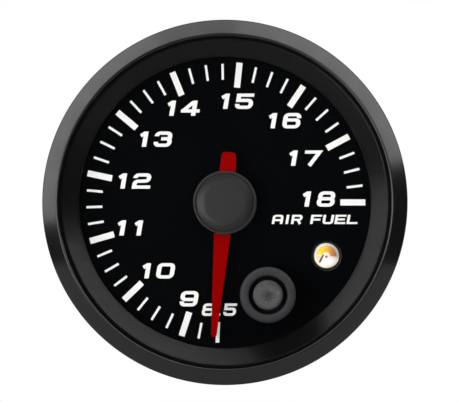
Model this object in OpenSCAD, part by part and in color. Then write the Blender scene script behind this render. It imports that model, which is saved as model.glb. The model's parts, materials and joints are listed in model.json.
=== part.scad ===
// Round 52 mm panel gauge that reads an engine's air to fuel ratio.
// Seen from the front, x runs right and y runs up, and z is the height in front of the panel.
// z = 0 is the seat, the plane where the bezel rests on the panel. upright() stands the gauge up,
// so that it faces -Y with +Z up.

/* [Case] */
// Outer diameter of the barrel that goes through the panel
barrel_d = 52; // [50:0.5:52.5]
// Length of the barrel behind the seat
barrel_l = 33; // [32:1:45]
// Wall of the barrel
barrel_wall = 1.6; // [1.4:0.1:1.8]
// Thickness of the flange that the bezel is rolled over
flange_t = 1.5; // [1.4:0.1:2.5]
// Diameter of the three posts inside the case
post_d = 5.2; // [4.6:0.1:5.6]
// Distance of the posts' middles from the barrel's inner wall
post_inset = 3.8; // [3.6:0.1:4.1]
// Width of the web that ties each post to the barrel
post_web_w = 2.4; // [1.6:0.1:3]

/* [Bezel] */
// How far the bezel reaches out beyond the barrel
bezel_brim = 4; // [3.5:0.1:6]
// Wall of the bezel round the lens
bezel_wall = 1.4; // [1:0.1:1.6]
// Radial width of the sloped front face
bezel_face_w = 2.7; // [2.5:0.1:3]
// Drop of the sloped face from its inner edge to its outer edge
bezel_slope_h = 2.2; // [1.6:0.1:2.6]
// Thickness of the lip in front of the gasket
bezel_lip_t = 1.3; // [1:0.1:2]
// Thickness of the rolled edge behind the case flange
bezel_curl_t = 1; // [0.8:0.1:1.4]
// Rounding of the bezel's outer corners
bezel_round = 0.45; // [0.2:0.05:0.6]

/* [Lens] */
// Thickness of the lens
lens_t = 1.5; // [1:0.1:2]
// Thickness of the gasket between lens and bezel
gasket_t = 0.5; // [0.4:0.05:1]
// Width of gasket that shows inside the bezel
gasket_show = 0.45; // [0.2:0.05:0.6]

/* [Dial] */
// Width of the shroud's foot on the dial's edge
shroud_foot_w = 1.2; // [0.8:0.1:2]
// Thickness of the white dial plate
dial_t = 0.8; // [0.6:0.1:1.1]
// Thickness of the black mask whose windows are the scale
mask_t = 0.2; // [0.1:0.05:0.3]
// Height of the shroud between the case flange and the lens
shroud_h = 4; // [3.6:0.1:6]

/* [Scale] */
// Value at three o'clock, the top of the scale
scale_high = 18; // [16:1:20]
// Value at the bottom of the scale
scale_low = 8.5; // [8:0.5:10]
// Turn of the pointer for one unit
unit_deg = 28; // [26:0.5:29]
// Marks to each unit
marks_per_unit = 4; // [2, 4]
// Gap between the unit marks and the shroud
mark_inset = 0.9; // [0.6:0.1:1.2]
// Length of the unit marks
mark_l = 4.1; // [3:0.1:4.5]
// Width of the unit marks
mark_w = 1; // [0.7:0.05:1.2]
// Gap between the fine marks and the shroud
fine_inset = 1.2; // [1:0.1:1.5]
// Length of the fine marks
fine_l = 2.6; // [2:0.1:3]
// Width of the fine marks
fine_w = 0.38; // [0.3:0.02:0.5]
// Length of the mark at the low end
low_l = 3.35; // [2.6:0.05:4]
// Width of the mark at the low end
low_w = 0.59; // [0.4:0.01:0.8]

/* [Pointer] */
// Where the pointer rests, counterclockwise from three o'clock
pointer_rest_deg = 265.2; // [262:0.1:266]
// Gap between the tip and the shroud's foot
pointer_tip_gap = 1.8; // [1.2:0.1:3]
// Width at the edge of the cap
pointer_root_w = 2.7; // [2.2:0.1:3]
// Width at the tip, before its rounding
pointer_tip_w = 0.95; // [0.8:0.05:1.2]
// Radius that the tail reaches
pointer_tail_r = 8.3; // [7.5:0.1:9]
// Width of the tail's end
pointer_tail_w = 2.4; // [2:0.1:2.6]
// Corner radius of the tail
pointer_tail_round = 0.65; // [0.3:0.05:0.8]
// Thickness of the pointer
pointer_t = 0.7; // [0.5:0.05:0.8]
// Height of the pointer's underside above the mask
pointer_lift = 1.2; // [1.1:0.1:1.3]

/* [Pointer cap] */
// Diameter of the cap's rim
cap_d = 10.5; // [9.5:0.1:11]
// Width of the rim round the raised disc
cap_rim_w = 0.7; // [0.6:0.05:0.9]
// Height of the rim
cap_rim_h = 0.8; // [0.6:0.05:0.9]
// Height of the raised disc above the rim
cap_disc_h = 0.6; // [0.4:0.05:0.7]
// Width of the bevel round the disc
cap_bevel = 0.7; // [0.4:0.05:0.9]
// Width of the groove between disc and rim
cap_groove_w = 0.2; // [0.1:0.02:0.3]
// Depth of that groove below the rim
cap_groove_h = 0.35; // [0.2:0.05:0.5]

/* [Function button] */
// Distance of the button's middle from the shroud's foot
button_inset = 7.24; // [6.6:0.02:7.6]
// Direction of the button, counterclockwise from three o'clock
button_deg = -65.1; // [-67:0.1:-60]
// Outer diameter of the ring round the button
button_ring_d = 9.2; // [8.8:0.1:9.4]
// Wall of that ring
button_ring_wall = 1.45; // [1.3:0.05:1.6]
// Gap between the ring and the button's top
button_gap = 0.675; // [0.5:0.025:0.9]
// How far the ring stands in front of the lens
button_ring_proud = 1.2; // [0.8:0.1:1.5]
// How far the button stands in front of its ring
button_proud = 0.2; // [0.1:0.05:0.3]
// How far the button is pressed
button_travel = 0.5; // [0.2:0.05:0.6]

/* [Warning light] */
// Distance of the light's middle from the shroud's foot
light_inset = 5.16; // [4.6:0.02:5.6]
// Direction of the light, counterclockwise from three o'clock
light_deg = -27.8; // [-30:0.1:-26]
// Diameter of the light's clear body
light_d = 4.8; // [4.4:0.1:5]
// Height of the dome's top above the mask
light_proud = 3.6; // [3:0.1:3.7]
// Length of the clear body
light_l = 8.6; // [8:0.1:8.8]

/* [Electronics] */
// Height of the white light box behind the dial
box_h = 5.6; // [5.4:0.1:6]
// Wall of the light box
box_wall = 1; // [0.8:0.1:1.2]
// Thickness of the circuit boards
board_t = 1.6; // [1:0.1:2]
// Thickness of the pointer motor
motor_h = 7.2; // [6.8:0.1:9]
// Diameter of the motor's round end, centred on the shaft
motor_d = 21; // [20:0.5:22]
// Length of the motor's square end below the shaft
motor_drop = 17; // [15:0.5:17.5]
// Diameter of the motor's shaft
shaft_d = 1.5; // [1.2:0.1:1.8]

/* [Rear] */
// Thickness of the rear cover
cover_t = 2.5; // [2:0.1:4]
// Height of the two sockets, inside their walls
socket_h = 6.4; // [6:0.1:7]
// Height of each socket's middle above or below the gauge's axis
socket_rise = 8; // [7.8:0.1:8.6]
// Depth of the sockets
socket_depth = 10; // [9.6:0.1:12]
// Height of the control board above the rear cover
board_stand = 2.5; // [2.1:0.1:4]
// Contacts in the power socket
power_ways = 4; // [3:1:4]
// Contacts in the sensor socket
sensor_ways = 6; // [5:1:6]
// Pitch of the contacts
pitch = 2.54; // [2.4:0.02:2.6]
// Diameter of the bracket studs, M4
stud_d = 4; // [3:0.5:5]
// Distance of each stud from the barrel's inner wall
stud_inset = 8.4; // [7.6:0.1:8.8]
// Length of the studs behind the cover
stud_l = 12; // [8:1:20]

/* [Hidden] */
$fn = 96;

// Clearances: rigid parts that drop together, a turning or sliding fit, and what a cut runs over
fit_play = 0.2;
press_play = 0.05;
run_play = 0.05;
free_play = 0.3;
overrun = 1;

// Radii from the bezel inwards
barrel_r = barrel_d / 2;
bezel_r = barrel_r + bezel_brim;
cavity_r = bezel_r - bezel_wall;
flange_r = cavity_r - fit_play;
lens_r = cavity_r - free_play;
window_r = bezel_r - bezel_face_w;
gasket_in_r = window_r - gasket_show;
mouth_gap = 0.15;
mouth_r = gasket_in_r - mouth_gap;
barrel_in_r = barrel_r - barrel_wall;
curl_gap = 0.5;
curl_in_r = barrel_r + curl_gap;
dial_ledge_w = 0.8;
dial_play = 0.1;
dial_seat_r = barrel_in_r + dial_ledge_w;
dial_r = dial_seat_r - dial_play;
dial_window_r = dial_seat_r - shroud_foot_w;
mark_outer_r = dial_window_r - mark_inset;
fine_outer_r = dial_window_r - fine_inset;
pointer_tip_r = dial_window_r - pointer_tip_gap;
button_r = dial_window_r - button_inset;
light_r = dial_window_r - light_inset;
post_r = barrel_in_r - post_inset;
stud_x = barrel_in_r - stud_inset;

// Heights from the seat forwards
flange_back = bezel_curl_t;
flange_front = flange_back + flange_t;
dial_sink = 1.3;
dial_back = flange_front - dial_sink;
dial_front = dial_back + dial_t;
mask_front = dial_front + mask_t;
lens_back = flange_front + shroud_h;
lens_front = lens_back + lens_t;
lip_back = lens_front + gasket_t;
bezel_front = lip_back + bezel_lip_t;
bezel_shoulder = bezel_front - bezel_slope_h;

// Heights from the dial backwards
box_floor_t = 1;
box_back = dial_back - box_h;
box_floor = box_back + box_floor_t;
board_front = box_back;
board_back = board_front - board_t;
motor_back = board_back - motor_h;
case_back = -barrel_l;
cover_back = case_back - cover_t;
control_back = case_back + board_stand;
control_front = control_back + board_t;
socket_base_t = 1.5;
socket_floor = control_back - socket_base_t;
socket_back = socket_floor - socket_depth;

// Bezel profile
edge_round = 0.2;
arc_steps = 8;

// Shroud profile: two slopes that meet part of the way out and up
shroud_break_r_share = 0.42;
shroud_break_h_share = 0.5;
shroud_edge = 0.25;

// Pointer, hub, cap and shaft
hub_d = 3;
hub_flange_d = 4.6;
hub_flange_t = 0.7;
hub_over = 0.4;
shaft_in = 1.2;
pointer_back = mask_front + pointer_lift;
pointer_front = pointer_back + pointer_t;
hub_front = pointer_front + hub_over;
cap_rim_front = pointer_front + cap_rim_h;
cap_front = cap_rim_front + cap_disc_h;
cap_edge = 0.15;
dial_hole_d = 3;
nose_d = 4.8;
nose_h = 3.4;
shaft_foot = 1;

// Button, its ring, stem and switch
button_x = button_r * cos(button_deg);
button_y = button_r * sin(button_deg);
button_ring_r = button_ring_d / 2;
button_bore_r = button_ring_r - button_ring_wall;
button_top_r = button_bore_r - button_gap;
ring_front = lens_front + button_ring_proud;
ring_seat_w = 0.7;
ring_spigot_r = button_ring_r - ring_seat_w;
ring_spigot_h = 2.4;
ring_round = 0.6;
button_top = ring_front + button_proud;
button_guide_h = 1.5;
button_guide_back = mask_front + fit_play;
button_guide_front = button_guide_back + button_guide_h;
button_edge = 0.5;
stem_d = 3.2;
switch_w = 6;
switch_h = 3.5;
switch_cover_t = 0.3;
switch_top = board_front + switch_h;
plunger_d = 3.5;
plunger_h = 1.5;
plunger_foot_d = 4.2;
plunger_foot_h = 0.5;
plunger_well = 1.4;
switch_leg_w = 0.7;
switch_leg_x = 3.25;
switch_leg_y = 2.25;
box_tube_wall = 0.9;
switch_tube_in_d = 9;

// Warning light and its leads
light_x = light_r * cos(light_deg);
light_y = light_r * sin(light_deg);
light_front = mask_front + light_proud;
light_back = light_front - light_l;
light_flange_w = 0.4;
light_flange_d = light_d + 2 * light_flange_w;
light_flange_h = 1;
light_tube_in_d = light_flange_d + 2 * free_play;
lead_w = 0.5;
lead_gap = 2.54;
lead_tail = 1.2;
lead_in = 0.2;
light_turn_deg = 60;
post_top_drop = 3;
cup_d = 1.9;
cup_h = 1;
cup_dish_d = 1.1;
cup_dish_h = 0.5;
anvil_l = 1.5;
anvil_w = 0.9;
anvil_h = 0.7;
cup_set = 0.35;

// Backlights
backlight_count = 6;
backlight_first_deg = 10;
backlight_last_deg = 250;
backlight_r_share = 0.5;
backlight_r = dial_window_r * backlight_r_share;
backlight_l = 2;
backlight_w = 1.25;
backlight_h = 0.8;
backlight_window_d = 3.2;

// Boards and what they carry
board_play = 0.3;
board_r = barrel_in_r - board_play;
control_notch_r = post_d / 2 + board_play;
pin_w = 0.64;
pin_play = 0.1;
link_ways = 8;
link_gap = 2.25;
link_tail = 1.4;
link_spacer_w = 2.5;
link_y = (motor_d + link_spacer_w) / 2 + link_gap;
chip_w = 10;
chip_h = 1.4;
chip_lead_w = 0.4;
chip_lead_l = 0.8;
chip_lead_h = 0.2;
chip_lead_pitch = 1.1;
chip_leads = 8;
regulator_w = 6.5;
regulator_l = 6.1;
regulator_h = 2.3;
regulator_tab_l = 1.1;
regulator_tab_t = 0.5;
regulator_x = -10;
regulator_y = -11;
capacitor_d = 6.3;
capacitor_h = 7.7;
capacitor_x = 13;
capacitor_y = -2;
capacitor_base_w = 6.6;
capacitor_base_h = 0.8;
capacitor_neck_d = 5.7;
capacitor_neck_h = 0.7;
capacitor_skirt_h = 1.2;

// Motor
motor_turn_deg = -70;
motor_flat = 1;
motor_w = motor_d - 2 * motor_flat;
motor_corner = 2;
motor_pin_d = 0.6;
motor_pin_inset = 2;
motor_pin_x = motor_w / 2 - motor_pin_inset;
motor_pin_high = 3.5;
motor_pin_rise = 6;
motor_pin_low = motor_drop - motor_pin_rise;
motor_pin_in = 1.5;
solder_in = 0.2;

// Case screws and rear
screw_d = 2.2;
screw_head_d = 3.8;
screw_head_h = 1.3;
screw_in = 7;
screw_recess_d = 1.3;
screw_recess_h = 0.7;
screw_first_deg = 20;
screw_count = 3;
cover_set = 0.3;
cover_r = barrel_r - cover_set;
cover_edge = 0.6;
spigot_h = 1.2;
spigot_wall = 1;
spigot_r = barrel_in_r - fit_play;
socket_wall = 1;
socket_end_w = 1.4;
socket_flange_w = 1;
socket_flange_t = 1.2;
socket_play = 0.1;
key_w = 2;
key_h = 0.6;
contact_l = 5;
contact_tail = 0.5;
stud_root_d = 4.8;
stud_head_d = 6;
stud_head_t = 1.2;
stud_tip = 0.5;

// Turns the drawing frame up: z goes to -Y and y goes to +Z
module upright() {
    rotate([90, 0, 0]) children();
}

// Copies its children round the axis
module around(count, first_deg) {
    for (i = [0 : count - 1]) rotate([0, 0, first_deg + i * 360 / count]) children();
}

// A cylinder from one height to another
module rod(d, from, to) {
    translate([0, 0, from]) cylinder(d = d, h = to - from);
}

// A cylinder that cuts through everything between two heights
module bore(d, from, to) {
    rod(d, from - overrun, to + overrun);
}

// A block centred on x and y, from one height to another
module block(w, l, from, to) {
    translate([-w / 2, -l / 2, from]) cube([w, l, to - from]);
}

// Points along an arc of a profile
function arc(x, y, r, from_deg, to_deg) = [
    for (i = [0 : arc_steps])
        let (a = from_deg + (to_deg - from_deg) * i / arc_steps) [x + r * cos(a), y + r * sin(a)]
];

// Bezel: a deep ring with a sloped face, a lip over the gasket and an edge rolled behind the flange
module bezel() {
    slope_deg = atan2(bezel_slope_h, bezel_face_w);
    profile = concat(
        [[curl_in_r, 0]],
        arc(bezel_r - bezel_round, bezel_round, bezel_round, -90, 0),
        arc(bezel_r - bezel_round, bezel_shoulder, bezel_round, 0, 90 - slope_deg),
        arc(window_r + edge_round, bezel_front - edge_round, edge_round, 90 - slope_deg, 180),
        [[window_r, lip_back], [cavity_r, lip_back], [cavity_r, flange_back], [curl_in_r, flange_back]]
    );
    color("#232325") upright() rotate_extrude() polygon(profile);
}

// Lens: a flat disc with a hole for the button's ring
module lens() {
    color("#dfe6ea", 0.3) upright() difference() {
        rod(2 * lens_r, lens_back, lens_front);
        translate([button_x, button_y, 0]) bore(button_ring_d + fit_play, lens_back, lens_front);
    }
}

module lens_gasket() {
    color("#0f0f10") upright() difference() {
        rod(2 * lens_r, lens_front, lip_back);
        bore(2 * gasket_in_r, lens_front, lip_back);
    }
}

// Shroud: the ring that slopes from the dial up to the lens in two steps
module dial_shroud() {
    break_r = dial_window_r + (mouth_r - dial_window_r) * shroud_break_r_share;
    break_z = mask_front + (lens_back - mask_front) * shroud_break_h_share;
    foot_r = dial_seat_r - fit_play;
    profile = [
        [dial_window_r, mask_front], [foot_r, mask_front], [foot_r, flange_front],
        [flange_r, flange_front], [flange_r, lens_back], [mouth_r, lens_back],
        [mouth_r - shroud_edge, lens_back - shroud_edge], [break_r, break_z]
    ];
    color("#3a3a3c") upright() rotate_extrude() polygon(profile);
}

// Outlines of the scale's marks, seen from the front
module mark(turn_deg, outer_r, l, w) {
    rotate(turn_deg) translate([outer_r - l, -w / 2]) square([l, w]);
}

module scale_marks() {
    steps = floor((scale_high - scale_low) * marks_per_unit);
    for (i = [0 : steps - 1]) {
        if (i % marks_per_unit == 0) mark(i / marks_per_unit * unit_deg, mark_outer_r, mark_l, mark_w);
        else mark(i / marks_per_unit * unit_deg, fine_outer_r, fine_l, fine_w);
    }
    mark(steps / marks_per_unit * unit_deg, mark_outer_r, low_l, low_w);
}

// Holes that every layer of the dial shares: shaft, button ring and warning light
module dial_outline() {
    difference() {
        circle(dial_r);
        circle(d = dial_hole_d);
        translate([button_x, button_y]) circle(d = 2 * ring_spigot_r + fit_play);
        translate([light_x, light_y]) circle(d = light_d + fit_play);
    }
}

// Mask: the dial's black front layer, cut through at every mark
module dial_mask() {
    color("#0a0a0b") upright() translate([0, 0, dial_front]) linear_extrude(mask_t) difference() {
        dial_outline();
        scale_marks();
    }
}

// Dial plate: white and translucent, it shows through the mask and carries the backlight
module dial_plate() {
    color("#f4f4f0") upright() translate([0, 0, dial_back]) linear_extrude(dial_t) dial_outline();
}

// Places of the backlights, on an arc behind the scale
module backlight_places() {
    step_deg = (backlight_last_deg - backlight_first_deg) / (backlight_count - 1);
    for (i = [0 : backlight_count - 1])
        rotate([0, 0, backlight_first_deg + i * step_deg]) translate([backlight_r, 0, 0]) children();
}

// Light box: a white cup behind the dial with tubes that keep its light off the button and the light
module light_box() {
    box_r = barrel_in_r - fit_play;
    color("#f0f0ec") upright() difference() {
        union() {
            difference() {
                rod(2 * box_r, box_back, dial_back);
                rod(2 * (box_r - box_wall), box_floor, dial_back + overrun);
            }
            translate([button_x, button_y, 0])
                rod(switch_tube_in_d + 2 * box_tube_wall, box_back, dial_back);
            translate([light_x, light_y, 0])
                rod(light_tube_in_d + 2 * box_tube_wall, box_back, dial_back);
            rod(nose_d + fit_play + 2 * box_tube_wall, box_back, dial_back);
        }
        bore(nose_d + fit_play, box_back, dial_back);
        translate([button_x, button_y, 0]) bore(switch_tube_in_d, box_back, dial_back);
        translate([light_x, light_y, 0]) bore(light_tube_in_d, box_back, dial_back);
        backlight_places() bore(backlight_window_d, box_back, box_floor);
        around(screw_count, screw_first_deg) translate([post_r, 0, 0])
            bore(screw_d + fit_play, box_back, box_floor);
        around(screw_count, screw_first_deg) translate([post_r, 0, 0])
            rod(screw_head_d + fit_play, box_floor, box_floor + screw_head_h + fit_play);
    }
}

// Pointer: a tapered arm with a rounded tip and a tail with rounded corners
module pointer_outline() {
    tip_w = pointer_tip_w / 2;
    cap_r = cap_d / 2;
    tail_y = pointer_tail_w / 2 - pointer_tail_round;
    tail_x = pointer_tail_round - pointer_tail_r;
    polygon([
        [pointer_tip_r - tip_w, tip_w], [cap_r, pointer_root_w / 2], [-cap_r, pointer_root_w / 2],
        [tail_x, pointer_tail_w / 2], [-pointer_tail_r, tail_y],
        [-pointer_tail_r, -tail_y], [tail_x, -pointer_tail_w / 2],
        [-cap_r, -pointer_root_w / 2], [cap_r, -pointer_root_w / 2], [pointer_tip_r - tip_w, -tip_w]
    ]);
    translate([pointer_tip_r - tip_w, 0]) circle(tip_w);
    for (side = [-1, 1]) translate([tail_x, side * tail_y]) circle(pointer_tail_round);
    circle(d = hub_flange_d);
}

module pointer_arm() {
    color("#a00404") upright() rotate([0, 0, pointer_rest_deg]) translate([0, 0, pointer_back])
        linear_extrude(pointer_t) difference() {
            pointer_outline();
            circle(d = hub_d);
        }
}

// Hub: the bush pressed on the shaft, with a flange under the pointer
module pointer_hub() {
    color("#18181a") upright() difference() {
        union() {
            rod(hub_flange_d, pointer_back - hub_flange_t, pointer_back);
            rod(hub_d, pointer_back - hub_flange_t, hub_front);
        }
        bore(shaft_d, pointer_back - hub_flange_t, hub_front);
    }
}

// Cap: a rim, a narrow groove and a raised disc with a bevelled edge
module pointer_cap() {
    rim_r = cap_d / 2;
    disc_r = rim_r - cap_rim_w;
    profile = [
        [0, hub_front], [hub_d / 2, hub_front], [hub_d / 2, pointer_front],
        [rim_r, pointer_front], [rim_r, cap_rim_front - cap_edge], [rim_r - cap_edge, cap_rim_front],
        [disc_r + cap_groove_w, cap_rim_front], [disc_r + cap_groove_w, cap_rim_front - cap_groove_h],
        [disc_r, cap_rim_front - cap_groove_h], [disc_r, cap_rim_front],
        [disc_r - cap_bevel / 3, cap_front - cap_disc_h / 4], [disc_r - cap_bevel, cap_front],
        [0, cap_front]
    ];
    color("#3b3b3c") upright() rotate_extrude() polygon(profile);
}

module motor_shaft() {
    color("#b9bcc0") upright() rod(shaft_d, motor_back + shaft_foot, hub_front);
}

// Button ring: a tube with a rounded mouth that stands on the dial and comes out through the lens
module button_ring() {
    foot = mask_front - ring_spigot_h;
    profile = concat(
        [[button_bore_r, foot], [ring_spigot_r, foot]],
        [[ring_spigot_r, mask_front], [button_ring_r, mask_front]],
        arc(button_ring_r - ring_round, ring_front - ring_round, ring_round, 0, 90),
        arc(button_bore_r + edge_round, ring_front - edge_round, edge_round, 90, 180)
    );
    color("#3c3c3d") upright() translate([button_x, button_y, 0]) rotate_extrude() polygon(profile);
}

// Button: a rubber cap with a softened edge and a wider guide that slides in the ring
module button_cap() {
    guide_r = button_bore_r - run_play;
    profile = concat(
        [[0, button_guide_back], [guide_r, button_guide_back], [guide_r, button_guide_front]],
        [[button_top_r, button_guide_front]],
        arc(button_top_r - button_edge, button_top - button_edge, button_edge, 0, 90),
        [[0, button_top]]
    );
    color("#333334") upright() translate([button_x, button_y, 0]) rotate_extrude() polygon(profile);
}

module button_stem() {
    color("#1d1d1f") upright() translate([button_x, button_y, 0])
        rod(stem_d, switch_top + plunger_h - switch_cover_t, button_guide_back);
}

// Switch: a square base with a round well, a plunger in it and a thin steel cover
module switch_base() {
    well = switch_top - switch_cover_t - plunger_well;
    color("#141415") upright() translate([button_x, button_y, 0]) {
        difference() {
            block(switch_w, switch_w, board_front, switch_top - switch_cover_t);
            rod(plunger_foot_d + 2 * run_play, well, switch_top);
        }
        for (x = [-1, 1], y = [-1, 1]) translate([x * switch_leg_x, y * switch_leg_y, 0])
            block(switch_leg_w, switch_leg_w, board_back + solder_in, board_front + switch_leg_w);
    }
}

module switch_cover() {
    color("#b4b6b8") upright() translate([button_x, button_y, 0]) difference() {
        block(switch_w, switch_w, switch_top - switch_cover_t, switch_top);
        bore(plunger_d + 2 * run_play, switch_top - switch_cover_t, switch_top);
    }
}

module switch_plunger() {
    foot_top = switch_top - switch_cover_t - press_play;
    color("#e6e4dc") upright() translate([button_x, button_y, 0]) {
        rod(plunger_foot_d, foot_top - plunger_foot_h, foot_top);
        rod(plunger_d, foot_top - plunger_foot_h, switch_top + plunger_h - switch_cover_t);
    }
}

// Leads of the warning light: one carries the reflector cup, the other a small anvil beside it
module light_lead_pair() {
    lead_foot = board_back - lead_tail;
    cup_front = light_front - post_top_drop;
    translate([-lead_gap / 2, 0, 0]) block(lead_w, lead_w, lead_foot, cup_front - anvil_h + lead_in);
    translate([-lead_gap / 2 + cup_set, 0, 0])
        block(anvil_l, anvil_w, cup_front - anvil_h, cup_front);
    translate([lead_gap / 2, 0, 0]) block(lead_w, lead_w, lead_foot, cup_front - cup_h + lead_in);
    difference() {
        translate([lead_gap / 2 - cup_set, 0, 0]) rod(cup_d, cup_front - cup_h, cup_front);
        translate([lead_gap / 2 - cup_set, 0, cup_front - cup_dish_h])
            cylinder(d1 = cup_dish_d, d2 = cup_d - lead_w, h = cup_dish_h);
    }
}

module warning_light_leads() {
    color("#c9c9c6") upright() translate([light_x, light_y, 0]) rotate([0, 0, light_turn_deg])
        light_lead_pair();
}

// Clear body of the warning light: a round dome on a straight barrel with a flange
module warning_light_lens() {
    dome_z = light_front - light_d / 2;
    color("#f3e3b0", 0.6) upright() translate([light_x, light_y, 0]) difference() {
        union() {
            rod(light_flange_d, light_back, light_back + light_flange_h);
            rod(light_d, light_back, dome_z);
            translate([0, 0, dome_z]) sphere(d = light_d);
        }
        rotate([0, 0, light_turn_deg]) light_lead_pair();
    }
}

module backlights() {
    color("#f2efc8") upright() backlight_places()
        block(backlight_l, backlight_w, board_front, board_front + backlight_h);
}

// Places for the contacts of a row, centred on x
module row(ways) {
    for (i = [0 : ways - 1]) translate([(i - (ways - 1) / 2) * pitch, 0, 0]) children();
}

module motor_pin_places() {
    for (x = [-1, 1], y = [motor_pin_high, -motor_pin_low])
        rotate([0, 0, motor_turn_deg]) translate([x * motor_pin_x, y, 0]) children();
}

// Main board: a disc with holes for the motor, screws, switch, light and header
module main_board() {
    color("#1f5a34") upright() difference() {
        rod(2 * board_r, board_back, board_front);
        bore(nose_d + fit_play, board_back, board_front);
        around(screw_count, screw_first_deg) translate([post_r, 0, 0])
            bore(screw_d + fit_play, board_back, board_front);
        motor_pin_places() bore(motor_pin_d + pin_play, board_back, board_front);
        translate([0, link_y, 0]) row(link_ways) bore(pin_w + 2 * pin_play, board_back, board_front);
        translate([button_x, button_y, 0]) for (x = [-1, 1], y = [-1, 1])
            translate([x * switch_leg_x, y * switch_leg_y, 0])
                bore(switch_leg_w + 3 * pin_play, board_back, board_front);
        translate([light_x, light_y, 0]) rotate([0, 0, light_turn_deg])
            for (x = [-1, 1]) translate([x * lead_gap / 2, 0, 0])
                bore(lead_w + 3 * pin_play, board_back, board_front);
    }
}

// Motor outline: round about the shaft, square below it
module motor_outline() {
    circle(d = motor_d);
    translate([-motor_w / 2 + motor_corner, -motor_drop])
        square([motor_w - 2 * motor_corner, motor_drop]);
    translate([-motor_w / 2, motor_corner - motor_drop])
        square([motor_w, motor_drop - motor_corner]);
    for (x = [-1, 1])
        translate([x * (motor_w / 2 - motor_corner), motor_corner - motor_drop])
            circle(motor_corner);
}

module motor_housing() {
    color("#1b1b1d") upright() difference() {
        union() {
            translate([0, 0, motor_back]) linear_extrude(motor_h) rotate(motor_turn_deg) motor_outline();
            rod(nose_d, board_back, board_back + nose_h);
        }
        rod(shaft_d + 2 * run_play, motor_back + shaft_foot - run_play, board_back + nose_h + overrun);
        motor_pin_places() rod(motor_pin_d, board_back - motor_pin_in, board_back + overrun);
    }
}

module motor_pins() {
    color("#d0b66a") upright() motor_pin_places()
        rod(motor_pin_d, board_back - motor_pin_in, board_front - solder_in);
}

// Header that joins the two boards
module link_pins() {
    color("#d0b66a") upright() translate([0, link_y, 0]) row(link_ways)
        rod(pin_w, control_back + solder_in, board_front - solder_in);
}

module link_spacer() {
    color("#161617") upright() translate([0, link_y, 0]) difference() {
        block(link_ways * pitch, link_spacer_w, control_front, board_back - link_tail);
        row(link_ways) bore(pin_w, control_front, board_back - link_tail);
    }
}

module socket_contacts(ways, y) {
    translate([0, y, 0]) row(ways) children();
}

// Control board: a disc with a notch round each post
module control_board() {
    color("#1f5a34") upright() difference() {
        rod(2 * board_r, control_back, control_front);
        around(screw_count, screw_first_deg) {
            translate([post_r, 0, 0]) bore(2 * control_notch_r, control_back, control_front);
            translate([barrel_in_r, 0, 0])
                block(2 * post_inset, 2 * control_notch_r, control_back - overrun, control_front + overrun);
        }
        translate([0, link_y, 0]) row(link_ways)
            bore(pin_w + 2 * pin_play, control_back, control_front);
        socket_contacts(power_ways, socket_rise)
            bore(pin_w + 2 * pin_play, control_back, control_front);
        socket_contacts(sensor_ways, -socket_rise)
            bore(pin_w + 2 * pin_play, control_back, control_front);
    }
}

// Chip: a bevelled body with leads on two sides
module control_chip() {
    mid = control_front + chip_h / 2;
    color("#202022") upright() {
        block(chip_w, chip_w, control_front + chip_lead_h, control_front + chip_h);
        for (side = [-1, 1], i = [0 : chip_leads - 1])
            translate([side * (chip_w + chip_lead_l) / 2, (i - (chip_leads - 1) / 2) * chip_lead_pitch, 0]) {
                block(chip_lead_l + chip_lead_h, chip_lead_w, control_front, control_front + chip_lead_h);
                translate([-side * chip_lead_l / 2, 0, 0])
                    block(chip_lead_h, chip_lead_w, control_front, mid);
            }
    }
}

module regulator() {
    color("#1c1c1e") upright() translate([regulator_x, regulator_y, 0]) {
        block(regulator_w, regulator_l, control_front, control_front + regulator_h);
        translate([0, (regulator_l + regulator_tab_l) / 2, 0])
            block(regulator_w, regulator_tab_l, control_front, control_front + regulator_tab_t);
    }
}

// Capacitors: cans with a rolled neck on square feet
module capacitors() {
    color("#a9adb2") upright() for (x = [-1, 1]) translate([x * capacitor_x, capacitor_y, 0]) {
        block(capacitor_base_w, capacitor_base_w, control_front, control_front + capacitor_base_h);
        rod(capacitor_d, control_front + capacitor_base_h,
            control_front + capacitor_base_h + capacitor_skirt_h);
        rod(capacitor_neck_d, control_front + capacitor_base_h,
            control_front + capacitor_h - capacitor_neck_h);
        rod(capacitor_d, control_front + capacitor_base_h + capacitor_skirt_h + capacitor_neck_h,
            control_front + capacitor_h);
    }
}

// Socket: a shroud with a key, open to the rear, and a flange held inside the cover
module socket(ways, y) {
    in_w = ways * pitch + 2 * socket_play;
    out_w = in_w + 2 * socket_end_w;
    out_h = socket_h + 2 * socket_wall;
    difference() {
        translate([0, y, 0]) union() {
            block(out_w, out_h, socket_back, control_back);
            block(out_w + 2 * socket_flange_w, out_h + 2 * socket_flange_w,
                case_back, case_back + socket_flange_t);
        }
        translate([0, y, 0]) block(in_w, socket_h, socket_back - overrun, socket_floor);
        translate([0, y + sign(y) * (socket_h + key_h) / 2, 0])
            block(key_w, key_h + run_play, socket_back - overrun, socket_floor);
        socket_contacts(ways, y) bore(pin_w, socket_floor, control_back);
    }
}

module contacts(ways, y) {
    socket_contacts(ways, y) rod(pin_w, socket_floor - contact_l, control_front + contact_tail);
}

module power_socket() {
    color("#1a1a1c") upright() socket(power_ways, socket_rise);
}

module power_pins() {
    color("#d0b66a") upright() contacts(power_ways, socket_rise);
}

module sensor_socket() {
    color("#1a1a1c") upright() socket(sensor_ways, -socket_rise);
}

module sensor_pins() {
    color("#d0b66a") upright() contacts(sensor_ways, -socket_rise);
}

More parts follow.
